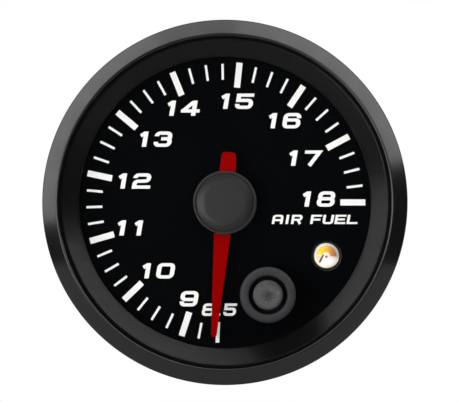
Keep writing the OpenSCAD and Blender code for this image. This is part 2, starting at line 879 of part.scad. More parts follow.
// Case: the barrel with its flange, the ledge that carries the dial and three screw posts
module case() {
    color("#1c1c1e") upright() difference() {
        union() {
            difference() {
                union() {
                    rod(2 * barrel_r, case_back, flange_front);
                    rod(2 * (curl_in_r - press_play), 0, flange_back + flange_t / 2);
                    rod(2 * flange_r, flange_back, flange_front);
                }
                bore(2 * barrel_in_r, case_back, flange_front);
            }
            around(screw_count, screw_first_deg) {
                translate([post_r, 0, 0]) rod(post_d, case_back, board_back);
                translate([(post_r + barrel_in_r) / 2, 0, 0])
                    block(barrel_in_r - post_r + barrel_wall, post_web_w, case_back, board_back);
            }
        }
        rod(2 * dial_seat_r, dial_back, flange_front + overrun);
        around(screw_count, screw_first_deg) translate([post_r, 0, 0]) {
            rod(screw_d, board_back - screw_in, board_back + overrun);
            rod(screw_d, case_back - overrun, case_back + screw_in);
        }
    }
}

// Outline of the hole that a socket's shroud passes through
module socket_window(ways, y) {
    out_w = ways * pitch + 2 * (socket_play + socket_end_w + fit_play);
    out_h = socket_h + 2 * (socket_wall + fit_play);
    translate([0, y, 0]) block(out_w, out_h, cover_back - overrun, case_back + overrun);
}

// Rear cover: a bevelled disc with a spigot in the barrel and windows for the sockets
module rear_cover() {
    profile = [
        [0, case_back], [0, cover_back], [cover_r - cover_edge, cover_back],
        [cover_r, cover_back + cover_edge], [cover_r, case_back]
    ];
    color("#1c1c1e") upright() difference() {
        union() {
            rotate_extrude() polygon(profile);
            difference() {
                rod(2 * spigot_r, case_back, case_back + spigot_h);
                bore(2 * (spigot_r - spigot_wall), case_back, case_back + spigot_h);
                around(screw_count, screw_first_deg) translate([post_r, 0, 0])
                    bore(post_d + 2 * barrel_wall, case_back, case_back + spigot_h);
            }
        }
        socket_window(power_ways, socket_rise);
        socket_window(sensor_ways, -socket_rise);
        around(screw_count, screw_first_deg) translate([post_r, 0, 0])
            bore(screw_d + fit_play, cover_back, case_back);
        for (x = [-1, 1]) translate([x * stud_x, 0, 0]) bore(stud_root_d, cover_back, case_back);
    }
}

// Studs for the clamping bracket: a head inside the cover and a plain end behind it
module bracket_studs() {
    color("#a8abaf") upright() for (x = [-1, 1]) translate([x * stud_x, 0, 0]) {
        rod(stud_head_d, case_back, case_back + stud_head_t);
        rod(stud_root_d, cover_back, case_back);
        rod(stud_d, cover_back - stud_l + stud_tip, cover_back);
        translate([0, 0, cover_back - stud_l])
            cylinder(d1 = stud_d - 2 * stud_tip, d2 = stud_d, h = stud_tip);
    }
}

// Screw with a round head that points along z, its seat at z = 0
module pan_screw(l) {
    difference() {
        union() {
            rod(screw_d, -l, 0);
            rod(screw_head_d, 0, screw_head_h);
        }
        rod(screw_recess_d, screw_head_h - screw_recess_h, screw_head_h + overrun);
    }
}

module board_screws() {
    color("#8f9296") upright() around(screw_count, screw_first_deg)
        translate([post_r, 0, box_floor]) pan_screw(box_floor - board_back + screw_in - free_play);
}

module cover_screws() {
    color("#8f9296") upright() around(screw_count, screw_first_deg)
        translate([post_r, 0, cover_back]) rotate([180, 0, 0])
            pan_screw(cover_t + screw_in - free_play);
}

bezel();
lens();
lens_gasket();
dial_shroud();
dial_mask();
dial_plate();
light_box();
pointer_arm();
pointer_hub();
pointer_cap();
motor_shaft();
button_ring();
button_cap();
button_stem();
switch_plunger();
switch_base();
switch_cover();
warning_light_lens();
warning_light_leads();
backlights();
main_board();
motor_housing();
motor_pins();
link_pins();
link_spacer();
control_board();
control_chip();
regulator();
capacitors();
power_socket();
power_pins();
sensor_socket();
sensor_pins();
case();
rear_cover();
bracket_studs();
board_screws();
cover_screws();
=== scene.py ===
import json

import bmesh
import bpy
import numpy as np
from mathutils import Matrix, Vector, geometry


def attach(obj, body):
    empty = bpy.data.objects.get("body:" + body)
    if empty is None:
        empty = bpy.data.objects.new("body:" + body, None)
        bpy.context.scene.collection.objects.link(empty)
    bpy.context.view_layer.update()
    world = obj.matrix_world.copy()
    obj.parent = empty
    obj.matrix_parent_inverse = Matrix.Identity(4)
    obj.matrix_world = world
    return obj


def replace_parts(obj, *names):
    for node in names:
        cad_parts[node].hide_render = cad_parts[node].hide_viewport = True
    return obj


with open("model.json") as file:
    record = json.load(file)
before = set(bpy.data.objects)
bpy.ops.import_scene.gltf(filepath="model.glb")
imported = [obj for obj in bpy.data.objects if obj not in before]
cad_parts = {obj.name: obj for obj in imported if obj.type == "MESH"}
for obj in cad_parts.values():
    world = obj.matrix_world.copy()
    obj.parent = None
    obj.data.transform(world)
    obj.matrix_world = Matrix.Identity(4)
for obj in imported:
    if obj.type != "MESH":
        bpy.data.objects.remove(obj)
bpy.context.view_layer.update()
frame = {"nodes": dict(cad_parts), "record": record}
print("gauge: frame loaded,", len(frame["nodes"]), "nodes")

mm = 0.001
# Meshes: steps of a rounded corner, sides of a turned form, and the lengths, in metres, below which points
# and edges are merged. Edges sharper than "sharpDeg" stay sharp.
mesh = {"cornerSteps": 6, "sides": 160, "sharpDeg": 35, "samePoint": 1e-7, "noLength": 1e-8}
buttonAt = (7.057, -15.2)  # middle of the function button, in mm right of and above the gauge's axis


# Drawings are in mm, as seen from the front: x runs right and y up from the gauge's axis, r is a radius
# round it, and s counts towards the reader from the seat, where the bezel rests on the panel. Each piece's
# values are such radii and heights, and a name that ends with Round is the radius of a rounded edge.

# Puts drawing coordinates into the frame: point = (x, -s, y) in metres
def toFrame(x, y, s):
    x, y, s = np.broadcast_arrays(x, y, s)
    return np.stack([x, -s, y], axis=-1) * mm


# Replaces each corner (x, y, radius) by an arc that touches both of its sides
def roundCorners(points, closed):
    out = []
    for i, (x, y, radius) in enumerate(points):
        here = np.array((x, y), float)
        if radius == 0 or (not closed and i in (0, len(points) - 1)):
            out.append(here)
            continue
        before = np.array(points[i - 1][:2], float) - here
        after = np.array(points[(i + 1) % len(points)][:2], float) - here
        before /= np.linalg.norm(before)
        after /= np.linalg.norm(after)
        half = np.arccos(np.clip(before @ after, -1, 1)) / 2
        middle = (before + after) / np.linalg.norm(before + after)
        centre = here + middle * radius / np.sin(half)
        start, end = here + before * radius / np.tan(half), here + after * radius / np.tan(half)
        a0, a1 = (np.arctan2(*(p - centre)[::-1]) for p in (start, end))
        sweep = (a1 - a0 + np.pi) % (2 * np.pi) - np.pi
        turn = a0 + sweep * np.linspace(0, 1, mesh["cornerSteps"] + 1)
        out.extend(centre + radius * np.stack([np.cos(turn), np.sin(turn)], axis=1))
    return np.array(out)


# Shades a mesh smooth, apart from its sharp edges
def smoothFaces(data, sharpDeg=mesh["sharpDeg"]):
    data.shade_smooth()
    data.set_sharp_from_angle(angle=np.radians(sharpDeg))


# Makes one closed mesh, merges its doubles, points its faces outwards and lets it ride on a body
def solidMesh(name, points, faces, body, sharpDeg=mesh["sharpDeg"]):
    data = bpy.data.meshes.new(name)
    data.from_pydata(points.reshape(-1, 3).tolist(), [], faces)
    work = bmesh.new()
    work.from_mesh(data)
    bmesh.ops.remove_doubles(work, verts=work.verts, dist=mesh["samePoint"])
    bmesh.ops.dissolve_degenerate(work, dist=mesh["noLength"], edges=work.edges)
    bmesh.ops.recalc_face_normals(work, faces=work.faces)
    work.to_mesh(data)
    work.free()
    smoothFaces(data, sharpDeg)
    made = bpy.data.objects.new(name, data)
    bpy.context.scene.collection.objects.link(made)
    if body:
        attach(made, body)
    return made


# Quads between neighbours of a grid of points, numbered row by row
def gridFaces(rows, columns, wrapRows, wrapColumns):
    i = np.arange(rows if wrapRows else rows - 1)[:, None]
    j = np.arange(columns if wrapColumns else columns - 1)[None, :]
    iNext, jNext = (i + 1) % rows, (j + 1) % columns
    row, rowNext = i * columns, iNext * columns
    quads = np.stack([row + j, rowNext + j, rowNext + jNext, row + jNext], axis=-1)
    return quads.reshape(-1, 4).tolist()


# Turned form: point(u, v) = centre + r(u) (cos v, sin v), s(u), for a closed profile of (r, s, rounding)
def turned(name, profile, body, centre=(0, 0), sides=mesh["sides"], sharpDeg=mesh["sharpDeg"]):
    outline = roundCorners(profile, closed=True)
    v = np.linspace(0, 2 * np.pi, sides, endpoint=False)
    r, s = outline[:, :1], outline[:, 1:]
    points = toFrame(centre[0] + r * np.cos(v), centre[1] + r * np.sin(v), s)
    return solidMesh(name, points, gridFaces(len(outline), sides, True, True), body, sharpDeg)


# Materials

# sRGB hex text to the linear colour that a shader takes
def toLinear(colour):
    c = np.array([int(colour[i:i + 2], 16) for i in (1, 3, 5)]) / 255
    c = np.where(c <= 0.04045, c / 12.92, ((c + 0.055) / 1.055) ** 2.4)
    return (*c.tolist(), 1.0)


# Adds one shader node with its settings, and its inputs as values or as links
def addNode(tree, kind, inputs=None, **settings):
    made = tree.nodes.new("ShaderNode" + kind)
    for name, value in settings.items():
        setattr(made, name, value)
    for name, value in (inputs or {}).items():
        if isinstance(value, bpy.types.NodeSocket):
            tree.links.new(value, made.inputs[name])
        else:
            made.inputs[name].default_value = value
    return made


# A new material with its Principled shader; colours are given as hex text
def startMaterial(name, **inputs):
    made = bpy.data.materials.new(name)
    made.use_nodes = True
    tree = made.node_tree
    tree.nodes.clear()
    shader = addNode(tree, "BsdfPrincipled")
    for key, value in inputs.items():
        socket = shader.inputs[key.replace("_", " ")]
        socket.default_value = toLinear(value) if isinstance(value, str) else value
    addNode(tree, "OutputMaterial", {"Surface": shader.outputs["BSDF"]})
    place = addNode(tree, "TexCoord").outputs["Object"]
    return made, tree, shader, place


# Runs the shader's colour from low to high as the factor goes from 0 to 1
def blendColours(tree, shader, factor, low, high):
    ramp = addNode(tree, "ValToRGB", {"Fac": factor})
    ramp.color_ramp.elements[0].color = toLinear(low)
    ramp.color_ramp.elements[1].color = toLinear(high)
    tree.links.new(ramp.outputs["Color"], shader.inputs["Base Color"])


# Bump from a height pattern, whose full depth is given in mm
def raiseSurface(tree, shader, height, depth, strength=1.0):
    bump = addNode(tree, "Bump", {"Height": height, "Distance": depth * mm, "Strength": strength})
    tree.links.new(bump.outputs["Normal"], shader.inputs["Normal"])


# How wide the patterns of the finishes are, in mm: the paint's orange peel and its change of gloss, the bloom
# on rubber, the drift of a plastic's grey, the clouds in ink, and the board's unit, half of which is a field
pattern = {"peel": 0.6, "gloss": 9.0, "bloom": 2.0, "drift": 6.0, "cloud": 1.5, "board": 5.0}


# Stove paint on spun steel: fine orange peel that just breaks up a reflection, and a gloss that drifts
def satinBlackPaint():
    made, tree, shader, place = startMaterial("satinBlackPaint", Base_Color="#0e0e0f", IOR=1.38)
    peel = addNode(tree, "TexNoise", {"Vector": place, "Scale": 1 / (pattern["peel"] * mm), "Detail": 2.0})
    raiseSurface(tree, shader, peel.outputs["Fac"], depth=0.003)
    cloud = addNode(tree, "TexNoise", {"Vector": place, "Scale": 1 / (pattern["gloss"] * mm), "Detail": 3.0})
    spread = addNode(tree, "MapRange", {"Value": cloud.outputs["Fac"], "To Min": 0.15, "To Max": 0.19})
    tree.links.new(spread.outputs["Result"], shader.inputs["Roughness"])
    return made


# Cast acrylic: you look through it, and it only mirrors bright things faintly
def clearAcrylic():
    return startMaterial("clearAcrylic", Base_Color="#060708", Roughness=0.03, IOR=1.49, Alpha=0.08)[0]


# Black rubber ring: dull, with a dusty bloom
def gasketRubber():
    made, tree, shader, place = startMaterial("gasketRubber", Roughness=0.8, IOR=1.5, Specular_IOR_Level=0.03)
    bloom = addNode(tree, "TexNoise", {"Vector": place, "Scale": 1 / (pattern["bloom"] * mm), "Detail": 4.0})
    blendColours(tree, shader, bloom.outputs["Fac"], "#050506", "#09090a")
    return made


# Moulded plastic with a spark-eroded grain, its size and depth in mm, and a grey that drifts a little
def mouldedPlastic(name, low, high, roughness, grain, depth, level=0.5):
    made, tree, shader, place = startMaterial(name, Roughness=roughness, IOR=1.53, Specular_IOR_Level=level)
    drift = addNode(tree, "TexNoise", {"Vector": place, "Scale": 1 / (pattern["drift"] * mm), "Detail": 4.0})
    blendColours(tree, shader, drift.outputs["Fac"], low, high)
    spark = addNode(tree, "TexNoise", {"Vector": place, "Scale": 1 / (grain * mm), "Detail": 3.0})
    raiseSurface(tree, shader, spark.outputs["Fac"], depth)
    return made


# Printed or sprayed film: matt and faintly cloudy, with the glow of what is lit from behind
def mattInk(name, low, high, glow=0.0):
    made, tree, shader, place = startMaterial(
        name, Roughness=0.8, IOR=1.45, Specular_IOR_Level=0.01,
        Emission_Color="#ffffff", Emission_Strength=glow)
    film = addNode(tree, "TexNoise", {"Vector": place, "Scale": 1 / (pattern["cloud"] * mm), "Detail": 3.0})
    blendColours(tree, shader, film.outputs["Fac"], low, high)
    return made


# Silicone button: rings left by the turned mould, and dust in sparse pale specks; lengths in mm
rubber = {"dark": "#18181a", "pale": "#6e6e70", "ringPitch": 2.827, "ringShare": 0.25, "grit": 0.3,
          "speckFrom": 0.56, "speckFull": 0.74, "relief": 0.03, "reliefShare": 0.6}


# Ring waves of the given pitch, to which the tops of a noise are added
def speckledRubber(centre):
    made, tree, shader, place = startMaterial(
        "speckledRubber", Roughness=0.6, IOR=1.43, Specular_IOR_Level=0.42)
    local = addNode(tree, "Mapping", {"Vector": place, "Location": (-centre[0] * mm, 0, -centre[1] * mm)})
    wavesPerScale = 20 / (2 * np.pi)  # the wave texture's own count in one unit of length at scale 1
    rings = addNode(tree, "TexWave", {
        "Vector": local.outputs["Vector"], "Scale": 1 / (wavesPerScale * rubber["ringPitch"] * mm),
        "Distortion": 1.5, "Detail": 2.0, "Detail Scale": 1.5}, wave_type="RINGS", rings_direction="Y")
    dust = addNode(tree, "TexNoise", {
        "Vector": place, "Scale": 1 / (rubber["grit"] * mm), "Detail": 6.0, "Roughness": 0.75})
    specks = addNode(tree, "MapRange", {
        "Value": dust.outputs["Fac"], "From Min": rubber["speckFrom"], "From Max": rubber["speckFull"]})
    soft = addNode(tree, "Math", {0: rings.outputs["Fac"], 1: rubber["ringShare"]}, operation="MULTIPLY")
    mixed = addNode(tree, "Math", {0: soft.outputs["Value"], 1: specks.outputs["Result"]}, operation="ADD")
    blendColours(tree, shader, mixed.outputs["Value"], rubber["dark"], rubber["pale"])
    raiseSurface(tree, shader, mixed.outputs["Value"], rubber["relief"], rubber["reliefShare"])
    return made


# Plated or drawn metal: patches of slightly different lustre, their size and relief given in mm
def platedMetal(name, low, high, roughness, grain, spread=0.08, relief=0.004):
    made, tree, shader, place = startMaterial(name, Metallic=1.0)
    patch = addNode(tree, "TexNoise", {"Vector": place, "Scale": 1 / (grain * mm), "Detail": 5.0})
    blendColours(tree, shader, patch.outputs["Fac"], low, high)
    lustre = addNode(tree, "MapRange", {
        "Value": patch.outputs["Fac"], "To Min": roughness - spread, "To Max": roughness + spread})
    tree.links.new(lustre.outputs["Result"], shader.inputs["Roughness"])
    raiseSurface(tree, shader, patch.outputs["Fac"], relief)
    return made


# Green lacquer over copper: the tracks, 0.4 mm wide between fields of 2.5 by 1.25 mm, show through lighter
# and stand up
def solderMask():
    made, tree, shader, place = startMaterial("solderMask", Roughness=0.35, IOR=1.5, Coat_Weight=0.3)
    field, track = (0, 0, 0, 1), (1, 1, 1, 1)
    fields = addNode(tree, "TexBrick", {
        "Vector": place, "Scale": 1 / (pattern["board"] * mm),
        "Brick Width": 0.5, "Row Height": 0.25, "Mortar Size": 0.04,
        "Color1": field, "Color2": field, "Mortar": track})
    blendColours(tree, shader, fields.outputs["Color"], "#14502c", "#23703f")
    raiseSurface(tree, shader, fields.outputs["Color"], depth=0.03)
    return made


# Cast epoxy of the warning light: a glassy skin over the coloured core
def castEpoxy():
    return startMaterial("castEpoxy", Base_Color="#2e2618", Roughness=0.05, IOR=1.55, Alpha=0.1)[0]


# What the warning light's dome magnifies: layers of colour over a pale ground, in mm from the light's middle.
# A measure is the distance from a point (x, y), or the place along a direction (x, y). A layer has its
# colour, its share, and its edges: a measure and the two values between which the layer comes in.
lamp = {
    "ground": "#fbf3ee", "amber": ("#ffd91e", "#eda63a", "#d08a60"), "amberRun": (-1.3, 2.0),
    "amberMiddle": 0.55, "glow": (0.3, 0.85), "glowRun": (0.2, -1.0),
    "measures": {
        "radius": ("DISTANCE", 0, 0), "fromSpot": ("DISTANCE", 0, -0.15), "right": ("DOT_PRODUCT", 1, 0),
        "up": ("DOT_PRODUCT", 0, 1), "slant": ("DOT_PRODUCT", 0.12, 1), "corner": ("DOT_PRODUCT", 1, 1),
        "across": ("DOT_PRODUCT", 0.9, -0.43)},
    "halfRing": ("amber", 1.0, [("slant", -0.05, 0.2), ("radius", 0.45, 0.75)]),
    "patch": ("#e9bf98", 0.7, [("across", -0.58, -0.83), ("up", 0.1, -0.1), ("up", -1.3, -0.8)]),
    "lead": ("#4d4239", 1.0, [("across", -0.27, -0.45), ("across", -0.79, -0.61), ("up", 0.3, 0.1),
                              ("up", -1.35, -0.9)]),
    "spot": ("#6d4436", 1.0, [("fromSpot", 0.28, 0.1)]),
    "rim": ("#faf4e4", 1.0, [("radius", 1.6, 1.76)]),
    # painted shade: a dark band over the outer edge of the rim, on its lower left side
    "shade": ("#4a4630", 1.0, [("radius", 1.9, 2.06), ("corner", 1.2, -1.6)]),
}


# Amber half ring above, a lead with a warm patch behind it, a spot, and a cream rim whose lower left side is
# darkened by painted shade. Each layer's mask is its share times smoothstep of each of its edges.
def lampCore(centre):
    made, tree, shader, place = startMaterial("lampCore", Roughness=0.3, IOR=1.5)
    flat = addNode(tree, "Mapping", {
        "Vector": place, "Scale": (1 / mm, 0, 1 / mm), "Location": (-centre[0], 0, -centre[1])})
    measured = {}
    for name, (kind, x, y) in lamp["measures"].items():
        measure = addNode(tree, "VectorMath", {0: flat.outputs["Vector"], 1: (x, 0, y)}, operation=kind)
        measured[name] = measure.outputs["Value"]
    run = addNode(tree, "MapRange", {
        "Value": measured["right"], "From Min": lamp["amberRun"][0], "From Max": lamp["amberRun"][1]},
        interpolation_type="SMOOTHSTEP")
    amber = addNode(tree, "ValToRGB", {"Fac": run.outputs["Result"]})
    stops = amber.color_ramp.elements
    stops.new(lamp["amberMiddle"])
    for stop, shade in zip(stops, lamp["amber"]):
        stop.color = toLinear(shade)
    colour = toLinear(lamp["ground"])
    for layer in ("halfRing", "patch", "lead", "spot", "rim", "shade"):
        above, mask, edges = lamp[layer]
        for measure, begins, whole in edges:
            edge = addNode(tree, "MapRange", {
                "Value": measured[measure], "From Min": begins, "From Max": whole, "To Max": mask},
                interpolation_type="SMOOTHSTEP")
            mask = edge.outputs["Result"]
        above = amber.outputs["Color"] if above == "amber" else toLinear(above)
        mixed = addNode(tree, "Mix", {"Factor": mask, "A": colour, "B": above}, data_type="RGBA")
        colour = mixed.outputs["Result"]
    tree.links.new(colour, shader.inputs["Base Color"])
    tree.links.new(colour, shader.inputs["Emission Color"])
    glow = addNode(tree, "MapRange", {
        "Value": measured["up"], "From Min": lamp["glowRun"][0], "From Max": lamp["glowRun"][1],
        "To Min": lamp["glow"][0], "To Max": lamp["glow"][1]}, interpolation_type="SMOOTHSTEP")
    tree.links.new(glow.outputs["Result"], shader.inputs["Emission Strength"])
    return made


# A finish for each material slot of the record; sizes and depths of the grain are in mm
finish = {
    "satin_black_paint": satinBlackPaint(),
    "clear_glass": clearAcrylic(),
    "black_rubber": gasketRubber(),
    "shroud_plastic": mouldedPlastic(
        "shroudPlastic", "#0d0d0e", "#111112", roughness=0.3, grain=0.35, depth=0.003, level=0.15),
    "dial_black": mattInk("blackInk", "#040507", "#07080a"),
    "dial_white": mattInk("backlitWhite", "#f4f4f1", "#fbfbf8", glow=0.22),
    "box_white": mouldedPlastic(
        "whitePolycarbonate", "#e8e8e3", "#f2f2ee", roughness=0.45, grain=0.4, depth=0.004),
    "pointer_red": mattInk("redLacquer", "#8f0001", "#990102"),
    "black_plastic": mouldedPlastic(
        "blackAbs", "#18181a", "#232325", roughness=0.5, grain=0.3, depth=0.012),
    "cap_grey": mouldedPlastic(
        "capNylon", "#1b1b1c", "#1f1f20", roughness=0.42, grain=0.24, depth=0.003, level=0.3),
    "ring_grey": mouldedPlastic(
        "ringNylon", "#27272a", "#2f2f31", roughness=0.5, grain=0.34, depth=0.01, level=0.12),
    "button_rubber": speckledRubber(buttonAt),
    "ivory_plastic": mouldedPlastic(
        "ivoryAcetal", "#e2ddcd", "#ece8da", roughness=0.4, grain=0.4, depth=0.003),
    "clear_epoxy": castEpoxy(),
    "tinned_lead": platedMetal("tinPlate", "#b9b9b4", "#dcdcd8", roughness=0.3, grain=0.8),
    "chip_glow": mattInk("phosphorSilicone", "#efe3a0", "#f6efc4"),
    "board_green": solderMask(),
    "gold_contact": platedMetal("goldFlash", "#cfa14a", "#ecc878", roughness=0.25, grain=0.9),
    "chip_black": mouldedPlastic(
        "epoxyMould", "#1b1b1d", "#272729", roughness=0.6, grain=0.2, depth=0.01),
    "can_aluminium": platedMetal("drawnAluminium", "#b4b6ba", "#d2d4d7", roughness=0.3, grain=1.5),
    "zinc_steel": platedMetal("zincPlate", "#9da1a6", "#c3c6ca", roughness=0.32, grain=1.2),
}


# Gives a new piece the finish of the record's slot that is named
def dress(piece, slot):
    piece.data.materials.clear()
    piece.data.materials.append(finish[slot])
    return piece


slotOf = {part["node"]: part["material_slot"] for part in frame["record"]["subparts"]}
for nodeName, cadPiece in frame["nodes"].items():
    for place in cadPiece.material_slots:
        place.material = finish[slotOf[nodeName]]
print("gauge: materials on", len(slotOf), "nodes")


# Bezel: spun ring, sloped in front, its lip over the gasket and its edge rolled behind the flange
bezel = {"edge": 30.0, "window": 27.3, "cavity": 28.6, "shoulder": 7.6, "front": 9.8, "lip": 8.5,
         "curl": 26.5, "curlFront": 1.0, "outerRound": 0.45, "innerRound": 0.3, "curlRound": 0.35,
         "insideRound": 0.1, "sides": 240}


def makeBezel(b):
    profile = [
        (b["curl"], 0, b["curlRound"]), (b["edge"], 0, b["outerRound"]),
        (b["edge"], b["shoulder"], b["outerRound"]), (b["window"], b["front"], b["innerRound"]),
        (b["window"], b["lip"], b["insideRound"]), (b["cavity"], b["lip"], b["insideRound"]),
        (b["cavity"], b["curlFront"], b["insideRound"]), (b["curl"], b["curlFront"], b["insideRound"])]
    piece = dress(turned("bezel_ring", profile, "housing", sides=b["sides"]), "satin_black_paint")
    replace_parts(piece, "bezel")


makeBezel(bezel)


# Shroud: a low wall at the dial, then two slopes up to the lens that mirror the arch as the bezel does
shroud = {"foot": 24.0, "wallUp": 4.1, "back": 25.0, "base": 2.2, "ledge": 2.5, "break": 25.15,
          "breakUp": 5.05, "mouth": 26.7, "top": 6.4, "rim": 28.4, "soften": 0.18, "mouthRound": 0.3,
          "sides": 240}


def makeShroud(d):
    profile = [
        (d["foot"], d["base"], 0), (d["back"], d["base"], 0), (d["back"], d["ledge"], 0),
        (d["rim"], d["ledge"], 0), (d["rim"], d["top"], 0), (d["mouth"], d["top"], d["mouthRound"]),
        (d["break"], d["breakUp"], d["soften"]), (d["foot"], d["wallUp"], d["soften"])]
    piece = dress(turned("shroud_ring", profile, "housing", sides=d["sides"]), "shroud_plastic")
    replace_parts(piece, "dial_shroud")


makeShroud(shroud)
print("gauge: bezel and shroud")


# Print on the dial: glyphs drawn with a broad flat pen that is wider than it is high, leaned to the right.
# Its ink lies half in front of the mask's front and half behind it. Lengths are in mm.
pen = {"across": 0.72, "up": 0.53, "halfWide": 1.11, "halfHigh": 1.0, "lean": 0.17, "ink": 0.03,
       "bend": 0.5, "straight": 1e-6, "merge": 1e-4, "dialFront": 2.2}
# Marks of the scale, as radius of the outer end, length and width. The low end's mark is printed a little
# beside its opening in the mask, which gets black ink.
marks = {"stepDeg": 7.0, "steps": 38, "each": 4, "unit": (23.1, 4.1, 1.0), "fine": (22.8, 2.6, 0.38),
         "low": (23.1, 3.35, 0.59), "lowAt": 266.9, "over": 0.004, "coverOver": 0.05}
# Strokes of each glyph. Their points are shares of the half width and half height that the pen's middle
# covers, a third value rounds the corner by that many bends, and "ring" closes a stroke.
strokes = {
    "0": [[(-1, -1, 1), (1, -1, 1), (1, 1, 1), (-1, 1, 1), "ring"]],
    "1": [[(0.22, -1.25), (0.22, 1.25)], [(-0.5, 0.55), (0.1, 1.0)]],
    "2": [[(-1, 0.5), (-1, 1, 1), (1, 1, 0.9), (1, 0.02, 0.9), (-0.98, -0.06, 0.9), (-0.98, -1), (1.4, -1)]],
    "3": [[(-1, 0.5), (-1, 1, 1), (0.95, 1, 1), (0.95, 0.02)], [(-0.3, 0.06), (0.3, 0.06)],
          [(0.2, 0.06), (1, 0.06, 1), (1, -1, 1), (-1, -1, 1), (-1, -0.45)]],
    "4": [[(0.55, -1.25), (0.55, 1.25)], [(-1.36, -0.45), (1.4, -0.45)], [(0.3, 1.0), (-1.02, -0.4)]],
    "5": [[(1.3, 1), (-0.93, 1), (-0.93, 0.14), (1, 0.14, 1), (1, -1, 1), (-1, -1, 1), (-1, -0.45)]],
    "6": [[(1, 0.42), (1, 1, 1), (-1, 1, 1), (-1, -1, 1), (1, -1, 1), (1, 0.12, 1), (-0.9, 0.12)]],
    "7": [[(-1.38, 1), (0.8, 1), (-0.42, -1.25)]],
    "8": [[(-1, -1, 1), (1, -1, 1), (1, 0.04, 1), (-1, 0.04, 1), "ring"],
          [(-0.93, 0.1), (-0.93, 1, 1), (0.93, 1, 1), (0.93, 0.1)]],
    "9": [[(-1, -0.42), (-1, -1, 1), (1, -1, 1), (1, 1, 1), (-1, 1, 1), (-1, -0.12, 1), (0.9, -0.12)]],
    ".": [[(-0.28, -1), (0.28, -1)]],
    "A": [[(-1, -1.25), (-1, 1, 1), (1, 1, 1), (1, -1.25)], [(-1, -0.2), (1, -0.2)]],
    "E": [[(1.35, 1), (-1, 1), (-1, -1), (1.35, -1)], [(-0.9, 0), (1.1, 0)]],
    "F": [[(-1, -1.25), (-1, 1), (1.35, 1)], [(-0.9, -0.05), (1.1, -0.05)]],
    "I": [[(0, -1.25), (0, 1.25)]],
    "L": [[(-1, 1.25), (-1, -1), (1.35, -1)]],
    "R": [[(-1, -1.25), (-1, 1), (1, 1, 1), (1, -0.1, 1), (-0.9, -0.1)], [(0.2, -0.1), (0.95, -1.25)]],
    "U": [[(-1, 1.25), (-1, -1, 1), (1, -1, 1), (1, 1.25)]],
}
# Numbers: the middle of each glyph in mm, its size, and its width as a share of the usual
dialText = [
    ("1", 13.39, 0.56, 1, 1), ("8", 16.67, 0.56, 1, 1), ("1", 11.18, 7.29, 1, 1), ("7", 14.54, 7.29, 1, 1),
    ("1", 7.81, 13.45, 1, 1), ("6", 11.01, 13.45, 1, 1), ("1", 0.01, 16.65, 1, 1), ("5", 3.21, 16.65, 1, 1),
    ("1", -8.85, 15.5, 1, 1), ("4", -5.65, 15.5, 1, 1), ("1", -13.37, 10.41, 1, 1),
    ("3", -10.17, 10.41, 1, 1), ("1", -16.9, 3.52, 1, 1), ("2", -13.7, 3.52, 1, 1),
    ("1", -17.06, -4.2, 1, 1), ("1", -14.27, -4.2, 1, 1),
    ("1", -12.96, -11.26, 1, 1), ("0", -9.76, -11.26, 1, 1), ("9", -5.9, -15.86, 1, 1),
    ("8", -2.7, -17.65, 0.81, 0.88), (".", -0.85, -17.65, 0.81, 0.88), ("5", 0.83, -17.65, 0.81, 0.88),
]
# Plain words under the highest number: start of the line, height of its middle, and room for a letter or an I
caption = {"text": "AIR FUEL", "x": 7.7, "y": -2.8, "size": 0.6, "step": 2.0, "narrow": 1.15}


# Sets the caption's letters one after another, each in the middle of its room
def captionGlyphs(c):
    at = c["x"]
    for letter in c["text"]:
        step = c["narrow"] if letter in " I" else c["step"]
        if letter != " ":
            yield letter, at + step / 2, c["y"], c["size"], 1
        at += step


# Ribbon along a centre line: each edge lies hypot(across nx, up ny) / 2 to its side, mitred where it turns
def penStroke(points, size, wide):
    closed = points[-1] == "ring"
    shape = [(x * pen["halfWide"], y * pen["halfHigh"], (list(r) + [0])[0] * pen["bend"])
             for x, y, *r in (p for p in points if p != "ring")]
    line = roundCorners(shape, closed)
    step = np.roll(line, -1, axis=0) - line
    if not closed:
        step[-1] = step[-2]
    along = step / np.linalg.norm(step, axis=1, keepdims=True)
    normal = np.stack([-along[:, 1], along[:, 0]], axis=1)
    reach = np.hypot(normal[:, 0] * pen["across"] / 2, normal[:, 1] * pen["up"] / 2)
    before, reachBefore = np.roll(normal, 1, axis=0), np.roll(reach, 1)
    if not closed:
        before[0], reachBefore[0] = normal[0], reach[0]
    cross = before[:, 0] * normal[:, 1] - before[:, 1] * normal[:, 0]
    flat = np.abs(cross) < pen["straight"]
    safe = np.where(flat, 1, cross)
    mitre = np.stack([(reachBefore * normal[:, 1] - reach * before[:, 1]) / safe,
                      (reach * before[:, 0] - reachBefore * normal[:, 0]) / safe], axis=1)
    mitre = np.where(flat[:, None], normal * reach[:, None], mitre)
    scale = np.array([size * wide, size])
    return (line + mitre) * scale, (line - mitre) * scale, closed


# Thin closed film: the plane is cut up along the edges of all the patches, which are triangles, and what any
# of them covers is kept
def inkFilm(name, patches, back, front):
    corners = np.concatenate(patches)
    outlines = np.arange(len(corners)).reshape(-1, 3).tolist()
    inside = 1
    cut = geometry.delaunay_2d_cdt([Vector(p) for p in corners.tolist()], [], outlines, inside, pen["merge"])
    points, triangles, covers = cut[0], cut[2], cut[5]
    kept = [tuple(t) for t, cover in zip(triangles, covers) if cover]
    flat, count = np.array([tuple(p) for p in points]), len(points)
    edges = {(t[k], t[(k + 1) % 3]) for t in kept for k in range(3)}
    rim = [(a, b) for a, b in edges if (b, a) not in edges]
    faces = [list(t) for t in kept] + [[k + count for k in reversed(t)] for t in kept]
    faces += [[a, a + count, b + count, b] for a, b in rim]
    levels = [toFrame(flat[:, 0], flat[:, 1], s) for s in (front, back)]
    return solidMesh(name, np.concatenate(levels), faces, "housing")


